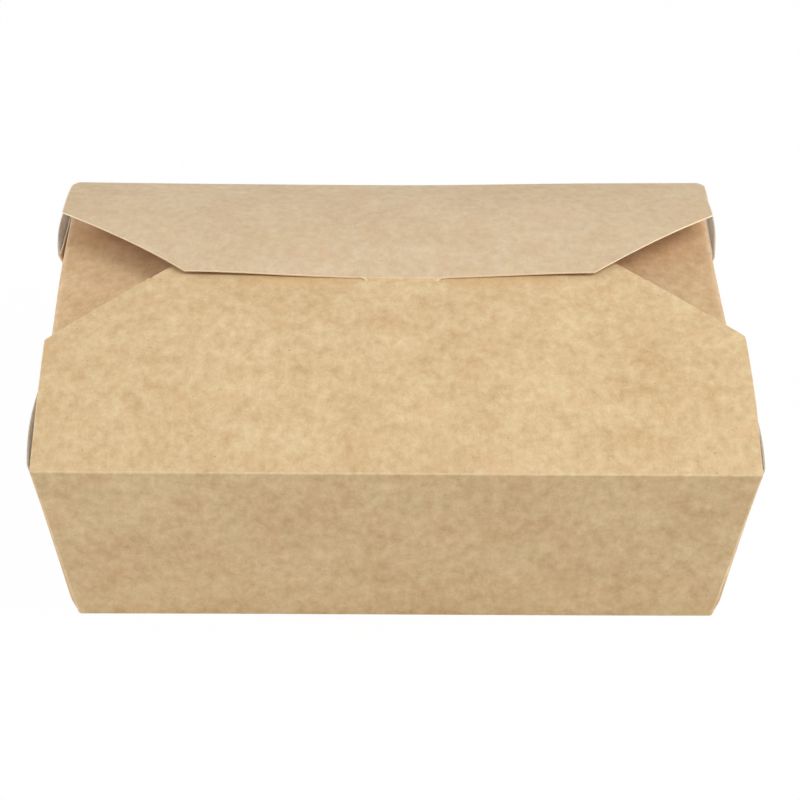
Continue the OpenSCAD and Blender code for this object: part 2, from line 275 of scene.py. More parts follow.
def sheet(name, columns, rows, place, flat, keep=None, finish=None, wear_and_painted_light=None):
    """A thin sheet of board from a grid. Each argument after rows is a function of a column and a row.

    place gives the point in millimetres and flat its place on the board laid flat. keep says which
    cells are board and finish which set of finishes each of them has. The last says how far a point is
    painted pale, up to 1, by wear and by painted highlight along lit cut edges, or below 0 how much
    painted warm shade it has.
    """
    across, down = columns - 1, rows - 1
    bm = bmesh.new()
    bmesh.ops.create_grid(bm, x_segments=across, y_segments=down, size=0.5)
    low_x = min(v.co.x for v in bm.verts)
    low_y = min(v.co.y for v in bm.verts)
    wide, deep = -2 * low_x, -2 * low_y

    def cell(co):
        return (co.x - low_x) / wide * across, (co.y - low_y) / deep * down

    if keep:
        waste = []
        for face in bm.faces:
            col, row = cell(face.calc_center_median())
            if not keep(int(col), int(row)):
                waste.append(face)
        bmesh.ops.delete(bm, geom=waste, context="FACES")
    if finish:
        for face in bm.faces:
            col, row = cell(face.calc_center_median())
            face.material_index = SIDES_IN_SET * finish(int(col), int(row))
    blank = bm.loops.layers.uv.new("Blank")
    wear_and_light_layer = bm.verts.layers.float.new("WearAndPaintedLight")
    at = {}
    for vert in bm.verts:
        col, row = cell(vert.co)
        at[vert] = (round(col), round(row))
    for face in bm.faces:
        face.smooth = True
        for loop in face.loops:
            u, v = flat(*at[loop.vert])
            loop[blank].uv = (u / PATTERN_MM, v / PATTERN_MM)
    for vert, (col, row) in at.items():
        vert.co = Vector(place(col, row)) * MM
        vert[wear_and_light_layer] = wear_and_painted_light(col, row) if wear_and_painted_light else 0.0
    mesh = bpy.data.meshes.new(name)
    bm.to_mesh(mesh)
    bm.free()
    return mesh


def board_piece(name, mesh, node, slot, *finishes):
    """Gives a sheet its thickness on the inner side, its sets of finishes and its body."""
    obj = bpy.data.objects.new(name, mesh)
    bpy.context.collection.objects.link(obj)
    for sides in finishes:
        for material in sides:
            mesh.materials.append(material)
    shell = obj.modifiers.new("Board", "SOLIDIFY")
    shell.thickness = BOARD * MM
    shell.offset = -1
    shell.use_even_offset = False
    shell.material_offset = 1
    shell.material_offset_rim = 2
    graph = bpy.context.evaluated_depsgraph_get()
    solid = bpy.data.meshes.new_from_object(obj.evaluated_get(graph))
    obj.modifiers.clear()
    obj.data = solid
    solid.name = name
    bpy.data.meshes.remove(mesh)
    solid.set_sharp_from_angle(angle=SMOOTH_BEND)
    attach(obj, node)
    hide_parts(node)


# Shader maths

# A noise lies about this value
MIDDLE = 0.5


class Value:
    """One output of a material's nodes, on which sums can be written as on a number."""

    def __init__(self, look, socket):
        self.look, self.socket = look, socket

    def math(self, operation, other):
        return self.look.node("ShaderNodeMath", {"operation": operation}, {0: self, 1: other})

    def __add__(self, other):
        return self.math("ADD", other)

    def __sub__(self, other):
        return self.math("SUBTRACT", other)

    def __mul__(self, other):
        return self.math("MULTIPLY", other)

    def clamped(self):
        return self.look.node("ShaderNodeClamp", {}, {"Value": self})

    def band(self, low, high):
        """0 at low, 1 at high, and smooth between them."""
        return self.look.node(
            "ShaderNodeMapRange", {"interpolation_type": "SMOOTHSTEP"},
            {"Value": self, "From Min": low, "From Max": high})


class Look:
    """A material under construction, with its Principled shader."""

    def __init__(self, name):
        self.material = bpy.data.materials.new(name)
        self.material.use_nodes = True
        self.tree = self.material.node_tree
        self.shader = self.tree.nodes["Principled BSDF"]

    def node(self, kind, settings, inputs, output=0):
        made = self.tree.nodes.new(kind)
        for key, value in settings.items():
            setattr(made, key, value)
        for key, value in inputs.items():
            self.plug(made.inputs[key], value)
        return Value(self, made.outputs[output])

    def plug(self, socket, value):
        if isinstance(value, Value):
            self.tree.links.new(value.socket, socket)
        else:
            socket.default_value = value

    def mix(self, share, first, second):
        """A colour between two others."""
        made = self.tree.nodes.new("ShaderNodeMix")
        made.data_type = "RGBA"
        for key, value in ((0, share), (6, first), (7, second)):
            self.plug(made.inputs[key], value)
        return Value(self, made.outputs[2])

    def blank(self):
        """Place on the board as it lay flat."""
        return self.node("ShaderNodeUVMap", {"uv_map": "Blank"}, {})

    def noise(self, where, scale, detail=3.0, rough=0.6, stretch=(1, 1, 1), shift=(0, 0, 0)):
        placed = self.node("ShaderNodeMapping", {}, {"Vector": where, "Scale": stretch, "Location": shift})
        return self.node("ShaderNodeTexNoise", {},
                         {"Vector": placed, "Scale": scale, "Detail": detail, "Roughness": rough})

    def bump(self, height, strength):
        return self.node("ShaderNodeBump", {}, {"Height": height, "Strength": strength, "Distance": 0.0002})

    def set(self, **sockets):
        for name, value in sockets.items():
            self.plug(self.shader.inputs[name.replace("_", " ")], value)


def layered(*layers):
    """Noises on top of each other, each about 0 and with its own share."""
    total = None
    for layer, share in layers:
        part = (layer - MIDDLE) * share
        total = part if total is None else total + part
    return total


def srgb(r, g, b):
    """A colour that is given as it looks on a screen, 0 to 255."""
    def linear(c):
        c /= 255
        return c / 12.92 if c <= 0.04045 else ((c + 0.055) / 1.055) ** 2.4
    return (linear(r), linear(g), linear(b), 1.0)


# Board is pressed between rolls, which draws its mottle and grain out along them
ROLLED = (1.05, 0.8, 1)

WARM_PULP, GREEN_PULP = srgb(216, 172, 126), srgb(222, 206, 154)
PALE_FLECK, DARK_SPECK = srgb(240, 220, 184), srgb(146, 108, 72)
# A pale that is wear at the creases, and along lit cut edges partly wear and partly painted highlight
# Painted warm shade, for the shadow and warm bounce light under an overhanging edge
PAINTED_WARM_SHADE, PALE_WEAR_AND_HIGHLIGHT = srgb(206, 162, 108), srgb(250, 224, 188)


def kraft_board(name, dark, light, depth):
    """Uncoated brown kraft: cloudy pulp, a fine pebbled grain, a few small flecks and worn creases, with
    pale edges that are partly wear and partly painted highlight, and painted warm shade.
    """
    look = Look(name)
    blank = look.blank()
    wide = look.noise(blank, 3.2, detail=2.0, rough=0.5)
    clouds = look.noise(blank, 12.0, rough=0.55, stretch=(1.0, 0.85, 1), shift=(3.1, 1.7, 0))
    mottle = look.noise(blank, 32.0, stretch=ROLLED, shift=(1.3, 8.1, 0))
    grain = look.noise(blank, 150.0, rough=0.7, stretch=ROLLED, shift=(6.7, 3.3, 0))
    pulp = layered((wide, 0.65), (clouds, 0.85), (mottle, 1.3), (grain, 0.75))
    colour = look.mix((pulp * depth + MIDDLE).clamped(), dark, light)

    warmth = look.noise(blank, 8.0, shift=(7.3, 5.9, 0))
    colour = look.mix(warmth.band(0.52, 0.72) * 0.3, colour, WARM_PULP)
    colour = look.mix(warmth.band(0.46, 0.28) * 0.25, colour, GREEN_PULP)
    flecks = look.noise(blank, 130.0, detail=1.0, rough=0.5, stretch=(0.5, 1, 1), shift=(2.2, 6.4, 0))
    colour = look.mix(flecks.band(0.7, 0.8) * 0.4, colour, PALE_FLECK)
    specks = look.noise(blank, 95.0, detail=0.0, rough=0.5, shift=(5.5, 2.8, 0))
    colour = look.mix(specks.band(0.83, 0.88) * 0.45, colour, DARK_SPECK)

    wear_and_painted_light = look.node("ShaderNodeAttribute", {"attribute_name": "WearAndPaintedLight"}, {}, "Fac")
    # Below 0 the attribute paints warm shade, for the shadow and warm bounce light under the back flap's
    # edge
    colour = look.mix((wear_and_painted_light * -0.4).clamped(), colour, PAINTED_WARM_SHADE)
    # Above 0 it paints pale: wear at the creases, and along the cut edges partly wear and partly painted
    # highlight
    colour = look.mix((wear_and_painted_light * (mottle * 1.6 + 0.1)).clamped(), colour, PALE_WEAR_AND_HIGHLIGHT)
    relief = look.bump(layered((grain, 0.8), (mottle, 0.5)), 0.2)
    dullness = layered((clouds, 0.15)) + 0.68
    look.set(Base_Color=colour, Roughness=dullness, Normal=relief, Specular_IOR_Level=0.3)
    return look.material


def lined_side(name, dark, light):
    """The inner side of the board: closed by a thin food-safe film, which gives it a dull gloss."""
    look = Look(name)
    blank = look.blank()
    clouds = look.noise(blank, 11.0, detail=4.0, shift=(4.4, 9.2, 0))
    grain = look.noise(blank, 120.0, detail=2.0, rough=0.5)
    colour = look.mix((clouds * 1.2 - 0.1).clamped(), dark, light)
    look.set(Base_Color=colour, Roughness=clouds * 0.12 + 0.36, Normal=look.bump(grain, 0.1))
    return look.material


def cut_board(name, dark, light):
    """The raw edge where the board was cut: paler, open pulp."""
    look = Look(name)
    pulp = look.noise(look.blank(), 90.0)
    look.set(Base_Color=look.mix(pulp, dark, light), Roughness=layered((pulp, 0.1)) + 0.9)
    return look.material


kraft = kraft_board("kraft_board", srgb(197, 161, 115), srgb(232, 208, 164), 1.0)
# The back flap's copy is greyer and shows less pattern: painted sheen, for the grazing light that the flap
# reflects
lid_kraft_painted_sheen = kraft_board("kraft_board_lid", srgb(197, 166, 130), srgb(228, 209, 176), 0.72)
# The end walls' copy is darker and warmer: painted shade, for the end flaps in the shade of the long flaps
end_kraft_painted_shade = kraft_board("kraft_board_end_painted_shade", srgb(193, 153, 109), srgb(227, 198, 156), 1.0)
lining = lined_side("board_lining", srgb(188, 132, 80), srgb(214, 162, 110))
# The inner side on the gusset leaves, made near white: painted light and painted sheen on the leaves' tops
# in their narrow pockets
web_lining_painted_light = lined_side("web_lining_painted_light", srgb(250, 239, 224), srgb(255, 249, 238))
# The cut edge is paler pulp, and paler still as painted highlight, since its upright face catches little
# light
cut_edge = cut_board("board_cut_edge", srgb(248, 226, 192), srgb(253, 238, 210))
# The gussets' cut edges are a darker, greyer copy of the cut edge: painted shade
web_edge_painted_shade = cut_board("web_cut_edge_painted_shade", srgb(196, 182, 160), srgb(216, 204, 184))

# Sets of finishes: outer side, inner side and edges
BODY_BOARD = (kraft, lining, cut_edge)
END_BOARD = (end_kraft_painted_shade, lining, cut_edge)
LID_BOARD = (lid_kraft_painted_sheen, lining, cut_edge)
WEB_BOARD = (kraft, web_lining_painted_light, web_edge_painted_shade)

# Beside a fold the sheet goes on, so what closes the piece there isn't a cut edge
BODY_FOLD = (kraft, lining, lining)
END_FOLD = (end_kraft_painted_shade, lining, lining)
LID_FOLD = (lid_kraft_painted_sheen, lining, lining)

# How far the board is painted pale: by wear at the folds, corners and creases, and along the cut edges
# partly by wear and partly as painted highlight
WORN_FOLD, WORN_CORNER = 0.5, 0.25
WORN_END_CREASE, WORN_FRONT_CREASE = 0.35, 0.3
SIDE_WEAR_AND_HIGHLIGHT, EDGE_WEAR_AND_HIGHLIGHT = 0.4, 1.0

# The folds at the base and the rolled creases

BASE_TURN = [math.radians(a) for a in (90, 67.5, 45, 22.5, 0)]
BASE_ROWS = [("turn", a) for a in BASE_TURN[:-1]]
CREASE_STEPS = 6


def base_fold(a):
    """Height of a point on a base fold, at the angle a round it, and how far in from the wall it lies."""
    return BASE_R * (1 - math.sin(a)), BASE_R * (1 - math.cos(a))


def crease_turn(lean, tilt):
    """Directions, out from the middle of a rolled crease, that turn from a wall's face to its flap's."""
    first, last = -math.atan(lean), math.pi / 2 - tilt
    angles = [first + (last - first) * k / CREASE_STEPS for k in range(CREASE_STEPS + 1)]
    return [(math.cos(a), math.sin(a)) for a in angles]


# Long walls with their gussets

LEAF_SHARES = stations((0, 0.2, 6), (0.2, 1, 16))
CORNER_ANGLES = [math.radians(a) for a in (22.5, 45, 67.5, 90)]
FOLD_ANGLES = [math.radians(a) for a in (22.5, 45, 67.5, 90, 112.5, 135, 157.5)]
LEAF_TOP = (WALL_H - RIM_DROP) / math.cos(END_TILT)
WALL_TOP = BEAD_Z - FOLD_R * math.sin(math.atan(SIDE_LEAN))
END_CORNER = math.atan(SIDE_FLARE / math.hypot(WALL_H, END_FLARE))
SIDE_CORNER = math.atan(END_FLARE / math.hypot(WALL_H, SIDE_FLARE))
FOLD_LEAN = (math.pi / 2 - END_CORNER - SIDE_CORNER) / 2 - END_CORNER

# Two leaves and the air between them. The outer leaf rises to that over a share of its width and its height
STACK = 2 * BOARD + 0.06
RISE_ACROSS, RISE_UP = 0.1, 0.12

# The inner leaf lies this far off the wall and bows by this much. No leaf is narrower than the third number
INNER_GAP, INNER_BOW, LEAST_LEAF = 0.02, 0.05, 0.05

# The shares of the height where the outer leaf starts, and the doubled fold with the inner leaf. The inner
# leaf has no board over the first share of its width, beside the corner
OUTER_FROM, FOLD_FROM = 0.028, 0.125
INNER_FROM = 0.09

# A long wall's columns to each side of its middle, its swell and unevenness, how far its rear corners have
# sunk, and how much lower a corner is where its gusset begins
WALL_COLUMNS = 30
WALL_SWELL, WALL_WAVE, WALL_WAVE_REACH, WALL_WAVE_SEED = 0.35, 0.12, 35, 3
REAR_CORNER_DROP, LEAF_ROOT_DROP = 0.2, RIM_DROP - 0.3

# Where the parts of a long wall lie on the board laid flat
WALL_FLAT, LEAF_FLAT, FOLD_FLAT = 98, 36, 37
OUTER_FLAT_AT, INNER_FLAT_AT, BACK_WALL_FLAT_AT = 100, 138, 400


def leaf_stand(corner, across, up):
    """How far the outer face of a gusset's outer leaf stands off its end wall."""
    bulge, skew, top = GUSSETS[corner]
    rise = 1 - (1 - min(1.0, across / RISE_ACROSS)) ** 2
    doubled = rise * STACK * ease(up / RISE_UP) + (top - STACK) * up * across ** 1.2
    return doubled + bulge * up ** 4 * math.sin(math.pi * across ** skew)


def inner_stand(corner, across, up):
    """The same for the kraft face of the inner leaf, which lies against the wall."""
    top = GUSSETS[corner][2]
    bow = INNER_BOW * up * up * math.sin(math.pi * across)
    return (top - STACK) * up * across ** 2.6 + bow + INNER_GAP


def leaf_point(corner, kind, v, up):
    """A point of a gusset: v is the share across a leaf, or the angle round the doubled fold."""
    sx, sy = corner
    b = up * LEAF_TOP
    near = corner_radius(b) - b * math.tan(END_CORNER)
    far = max(near + LEAST_LEAF, b * math.tan(FOLD_LEAN))
    if kind == "outer":
        a, d = near + (far - near) * v, leaf_stand(corner, v, up)
    elif kind == "inner":
        a, d = near + (far - near) * v, inner_stand(corner, v, up)
    else:
        out, back = leaf_stand(corner, 1, up), inner_stand(corner, 1, up)
        r = (out - back) / 2
        a, d = far + abs(r) * math.sin(v), (out + back) / 2 + r * math.cos(v)
    y = BASE_W / 2 - a
    x = BASE_L / 2 + b * math.sin(END_TILT) + d * math.cos(END_TILT)
    x -= end_inset(sx, sy * y) * b / LEAF_TOP
    z = b * math.cos(END_TILT) - d * math.sin(END_TILT) - corner_drop(sx, sy * y, up)
    return settled(sx * x, sy * y, z)


def long_wall(name, sy):
    """Front or back wall with the gusset leaves at both its ends, which are folded round the corners."""
    half = [("wall", k / WALL_COLUMNS) for k in range(WALL_COLUMNS + 1)]
    half += [("corner", a) for a in CORNER_ANGLES]
    half += [("outer", share) for share in LEAF_SHARES[1:]]
    half += [("fold", a) for a in FOLD_ANGLES]
    half += [("inner", share) for share in reversed(LEAF_SHARES)]
    line = [(kind, v, -1) for kind, v in reversed(half[1:])] + [(kind, v, 1) for kind, v in half]
    heights = stations((BASE_R / WALL_TOP, 0.05, 2), (0.05, 0.13, 3), (0.13, 1, 24))
    rows = BASE_ROWS + [("up", share) for share in heights]

    def on_wall(col):
        return {line[col][0], line[col + 1][0]} <= {"wall", "corner"}

    def place(col, row):
        kind, v, way = line[col]
        sx = -sy * way
        step, up = rows[row]
        if step == "turn":
            z, pull = base_fold(up)
            h = 0.0
        elif kind in ("wall", "corner"):
            z, pull, h = up * WALL_TOP, 0.0, up
        else:
            return leaf_point((sx, sy), kind, v, up)
        r = max(LEAST_R, corner_radius(z) - pull)
        half_x = BASE_L / 2 + z * END_LEAN - pull
        half_y = BASE_W / 2 + z * SIDE_LEAN - pull
        inset = end_inset(sx, sy * CREASE_Y) * z / WALL_H
        if kind == "wall":
            x = v * (half_x - r - inset)
            sunk = (rear_bow(sx * x) if sy > 0 else front_drop(sx * x)) * (z / WALL_H) ** 3
            wave = WALL_WAVE * wander(sx * x, z, WALL_WAVE_REACH, WALL_WAVE_SEED + sy) * h * (1 - v)
            swell = WALL_SWELL * math.sin(math.pi * h) * (1 - v * v) + wave
            return settled(sx * x, sy * (half_y + swell), z - sunk)
        a = v if kind == "corner" else math.pi / 2
        low = (front_drop(sx * CREASE_X) if sy < 0 else REAR_CORNER_DROP) + LEAF_ROOT_DROP * math.sin(a)
        x = half_x - inset - r + r * math.sin(a)
        y = half_y - r + r * math.cos(a)
        return settled(sx * x, sy * y, z - low * h ** 3)

    def keep(col, row):
        if on_wall(col):
            return True
        kinds = {line[col][0], line[col + 1][0]}
        if "inner" in kinds and min(line[col][1], line[col + 1][1]) < INNER_FROM:
            return False
        step, up = rows[row]
        start = FOLD_FROM if kinds & {"inner", "fold"} else OUTER_FROM
        return step == "up" and up >= start

    def flat(col, row):
        kind, v, way = line[col]
        step, up = rows[row]
        h = up if step == "up" else 0.0
        across = {
            "wall": v * WALL_FLAT + END_FLARE * h * v,
            "corner": WALL_FLAT + v,
            "outer": OUTER_FLAT_AT + LEAF_FLAT * v * h,
            "fold": OUTER_FLAT_AT + FOLD_FLAT * h,
            "inner": INNER_FLAT_AT + LEAF_FLAT * (1 - v) * h,
        }[kind]
        return (way * across, h * WALL_H + (BACK_WALL_FLAT_AT if sy > 0 else 0))

    def finish(col, row):
        """0 for the wall, 1 for the gussets and 2 for the wall beside its folds."""
        if not on_wall(col):
            return 1
        return 2 if row in (0, len(rows) - 2) else 0

    def wear_and_painted_light(col, row):
        kind = line[col][0]
        if kind == "fold":
            return WORN_FOLD
        return WORN_CORNER if kind == "corner" or rows[row][0] == "turn" else 0.0

    mesh = sheet(name, len(line), len(rows), place, flat, keep, finish, wear_and_painted_light)
    board_piece(name, mesh, "carton", "kraft_board", BODY_BOARD, WEB_BOARD, BODY_FOLD)


# End walls with their flaps

# The rows come closer from this height up, and again over the first few millimetres of the flap
END_CLOSE_FROM, END_CLOSE_TO = 62, 4

# The flap's unevenness, which grows over the run beside its crease
END_WAVE, END_WAVE_REACH, END_WAVE_SEED, END_WAVE_RUN = 0.35, 40, 9, 12

# Half the wall's width on the board laid flat, and its place there
END_FLAT, END_FLAT_AT, END_FLAT_ACROSS = 78, 200, 300


def end_wall(name, sx):
    """End wall, its rolled crease and its end flap, which slopes in under the long flaps."""
    shares = stations((-1, 1, 48))
    tilt = math.radians(END_SLOPE)
    wall_top = BEAD_Z - FOLD_R * math.sin(END_TILT)
    heights = stations((BASE_R, END_CLOSE_FROM, 22), (END_CLOSE_FROM, wall_top, 2))
    reaches = stations((0, END_CLOSE_TO, 3), (END_CLOSE_TO, END_REACH, 24))[1:]
    rows = BASE_ROWS + [("up", z) for z in heights]
    rows += [("crease", d) for d in crease_turn(END_LEAN, tilt)[1:]]
    rows += [("flap", reach) for reach in reaches]
    root_half = CREASE_Y - END_RELIEF
    start = (BEAD_X + FOLD_R * math.sin(tilt), BEAD_Z + FOLD_R * math.cos(tilt))

    def flap_half(reach):
        return root_half - (root_half - END_TIP / 2) * reach / END_REACH

    def place(col, row):
        across = shares[col] * sx
        step, v = rows[row]
        if step == "flap":
            x, y = start[0] - v, across * flap_half(v)
            z = start[1] + math.tan(tilt) * v - END_DROOP * (v / END_REACH) ** 2
            wave = END_WAVE * wander(x, y, END_WAVE_REACH, END_WAVE_SEED + sx) * ease(v / END_WAVE_RUN)
            z += wave - corner_drop(sx, y, 1)
            return (sx * (x - end_inset(sx, y)), y, z)
        if step == "crease":
            y = across * root_half
            x, z = BEAD_X + FOLD_R * v[0], BEAD_Z + FOLD_R * v[1]
            return (sx * (x - end_inset(sx, y)), y, z - corner_drop(sx, y, 1))
        z, pull = base_fold(v) if step == "turn" else (v, 0.0)
        y = across * (BASE_W / 2 + z * SIDE_LEAN - pull - max(LEAST_R, corner_radius(z) - pull))
        x = BASE_L / 2 + z * END_LEAN - pull - end_inset(sx, y) * z / WALL_H
        return settled(sx * x, y, z - corner_drop(sx, y, z / WALL_H))

    def flat(col, row):
        step, v = rows[row]
        along, half = 0.0, END_FLAT
        if step == "up":
            along = v
        elif step == "crease":
            along = WALL_H + math.atan2(v[1], v[0])
        elif step == "flap":
            along, half = WALL_H + 2 + v, flap_half(v)
        return (along + END_FLAT_AT, shares[col] * half + sx * END_FLAT_ACROSS)

    def finish(col, row):
        """0 for the flap and 1 for the wall and crease, which have folds beside them."""
        return 0 if rows[row][0] == "flap" else 1

    def wear_and_painted_light(col, row):
        return WORN_END_CREASE if rows[row][0] in ("crease", "turn") else 0.0

    mesh = sheet(name, len(shares), len(rows), place, flat, finish=finish, wear_and_painted_light=wear_and_painted_light)
    board_piece(name, mesh, "carton", "kraft_board", END_BOARD, END_FOLD)


# Long flaps

# Columns on each half of a long flap: across the tab or slit, and from there to the side edge
INNER_COLUMNS, OUTER_COLUMNS = 12, 30
CENTRE = INNER_COLUMNS + OUTER_COLUMNS
FLAP_COLUMNS = 2 * CENTRE + 1

# Width of the rim along a side edge whose face is painted pale: partly rubbed by the knife, partly a painted
# highlight of the lit cut edge
RIM = 0.4

# The rows lie close for this far to both sides of where a slanting edge starts, which is rounded
CLOSE = 0.8
FRONT_CUT_R, BACK_CUT_R = 0.6, 0.5

# An arched flap is this much longer than its plan. Where the long flaps lie on the board laid flat
ARCH_STRETCH = 1.02
FRONT_FLAT_AT, BACK_FLAT_AT = 65.9, 700


def spread(inner, outer):
    """Columns of a long flap: close across the tab or slit, then out to the narrow rim at the side edge."""
    last = OUTER_COLUMNS - 1
    right = [inner * k / INNER_COLUMNS for k in range(INNER_COLUMNS + 1)]
    right += [inner + (outer - RIM - inner) * k / last for k in range(1, OUTER_COLUMNS)] + [outer]
    return [-x for x in reversed(right[1:])] + right


# The front flap: its crease is this much narrower, and it leaves the crease at this distance from the middle
FRONT_CREASE_IN, FRONT_ROOT = 0.25, 79

# The first rows lie close up to here. Then the flap's unevenness, which grows over the run beside its crease
FRONT_CLOSE_TO = -70
FRONT_WAVE, FRONT_WAVE_REACH, FRONT_WAVE_SEED, FRONT_WAVE_RUN = 0.3, 45, 1.5, 20

# How far back the flap still follows its sunk crease, how far back its right side follows the pushed end,
# and how far that side stands out behind there
DROP_RUN, HUG_RUN, HUG_OUT = 60, 30, 0.4

# The share of its width by which the slit is still open at its ends
SLIT_LEAST_OPEN = 0.06

# The band that the back flap's free edge rests on has painted warm shade, for the shadow and warm bounce
# light under that edge. Where it begins and ends, from front to back and then to each side of the tab, each
# with the run over which it does
SHADE_FROM, SHADE_FROM_RUN, SHADE_TO, SHADE_TO_RUN = -2, 5, 9, 4
SHADE_INNER, SHADE_INNER_RUN, SHADE_OUTER, SHADE_OUTER_RUN = 12, 8, 70, 12


def front_flap():
    """Front flap from its rolled crease to the tail behind the slit."""
    turn = crease_turn(SIDE_LEAN, FRONT_TILT)
    ys = stations((FRONT_START[0], FRONT_CLOSE_TO, 5), (FRONT_CLOSE_TO, -FRONT_STOP - CLOSE, 20),
                  (-FRONT_STOP - CLOSE, -FRONT_STOP + CLOSE, 4), (-FRONT_STOP + CLOSE, SLIT_FRONT - 1, 15),
                  (SLIT_FRONT - 1, SLIT_FRONT, 2))
    lip_row = len(turn) - 1 + len(ys) - 1
    ys += stations((SLIT_REAR, SLIT_REAR + 1, 2), (SLIT_REAR + 1, TAIL_Y, 8))
    rows = [("crease", d) for d in turn[:-1]] + [("flap", y) for y in ys]

    def x_at(col, half):
        return askew_tab(spread(SLIT_HALF, half)[col], half)

    def half_at(y, askew=0.0):
        return side_width(y + CREASE_Y - askew, FRONT_SIDE, FRONT_CHAMFER, FRONT_REACH, FRONT_CUT_R)

    def place(col, row):
        step, v = rows[row]
        at_crease = end_inset(1, -CREASE_Y)
        if step == "crease":
            x = x_at(col, CREASE_X - FRONT_CREASE_IN)
            x -= at_crease * max(0.0, x / CREASE_X) ** 3
            return (x, -BEAD_Y - FOLD_R * v[0], BEAD_Z + FOLD_R * v[1] - front_drop(x))
        y = v
        x = x_at(col, half_at(y, FRONT_ASKEW if col > CENTRE else 0.0))
        if row in (lip_row, lip_row + 1):
            shut = 1 - max(SLIT_LEAST_OPEN, bell(x - TAB_X))
            y += (1 if row == lip_row else -1) * SLIT_W / 2 * shut
        back = y + FRONT_ROOT
        z = lip_z(x, y) if row <= lip_row else front_base(x, y)
        wave = FRONT_WAVE * wander(x, y, FRONT_WAVE_REACH, FRONT_WAVE_SEED) * ease(back / FRONT_WAVE_RUN)
        z += wave - front_drop(x) * (1 - ease(back / DROP_RUN))
        hug = at_crease * (1 - ease(back / HUG_RUN)) - HUG_OUT * ease(back / HUG_RUN)
        return (x - hug * max(0.0, x / CREASE_X) ** 3, y, z)

    def keep(col, row):
        return not (row == lip_row and abs(col + 0.5 - CENTRE) < INNER_COLUMNS)

    def flat(col, row):
        step, v = rows[row]
        if step == "crease":
            return (x_at(col, CREASE_X), WALL_H + math.atan2(v[1], v[0]) * FOLD_R)
        return (x_at(col, half_at(v)), FRONT_FLAT_AT + (v + CREASE_Y) * ARCH_STRETCH)

    def finish(col, row):
        """0 for the flap and 1 for the row beside the wall's fold."""
        return 1 if row == 0 else 0

    def wear_and_painted_light(col, row):
        """Pale at its crease from wear, pale at its side edges from wear and painted highlight, and painted
        warm shade where the back flap's free edge rests on it.
        """
        step, v = rows[row]
        if step == "crease":
            return WORN_FRONT_CREASE
        if col in (0, 2 * CENTRE):
            return SIDE_WEAR_AND_HIGHLIGHT
        beside = abs(x_at(col, CREASE_X) - TAB_X)
        along = ease((v - SHADE_FROM) / SHADE_FROM_RUN) * ease((SHADE_TO - v) / SHADE_TO_RUN)
        across = ease((beside - SHADE_INNER) / SHADE_INNER_RUN) * ease((SHADE_OUTER - beside) / SHADE_OUTER_RUN)
        return -along * across

    mesh = sheet("front_flap", FLAP_COLUMNS, len(rows), place, flat, keep, finish, wear_and_painted_light)
    board_piece("front_flap", mesh, "carton", "kraft_board", BODY_BOARD, BODY_FOLD)


# The back flap: its side edges are drawn in near the crease, the right one also further on, and the left one
# lies out
DRAWN_IN, DRAWN_RUN = 1.7, 7
LEFT_OUT = 0.95
SLACK, SLACK_FROM, SLACK_RUN, SLACK_TO, SLACK_TO_RUN = 1.65, 74, 22, 5, 25

# The flap's free edge lies this much further back than drawn, from this y on, over this run
SHORTER, SHORTER_FROM, SHORTER_RUN = 0.6, 30, 25

# How far behind the middle the flap starts to follow its bowed crease and over what run, and its unevenness
BOW_FROM, BOW_RUN = 45, 34
BACK_WAVE, BACK_WAVE_REACH, BACK_WAVE_SEED = 0.3, 42, 6.5
BACK_WAVE_FROM, BACK_WAVE_FROM_RUN, BACK_WAVE_TO, BACK_WAVE_TO_RUN = 78, 15, 2, 10

# The last rows lie close from here to the crease, and this many make the rounds at the tab's root
BACK_CLOSE_FROM = 68
FILLET_ROWS = 5

# The grid goes on beside the tab for this far, and is cut away there
TAB_WASTE = 8


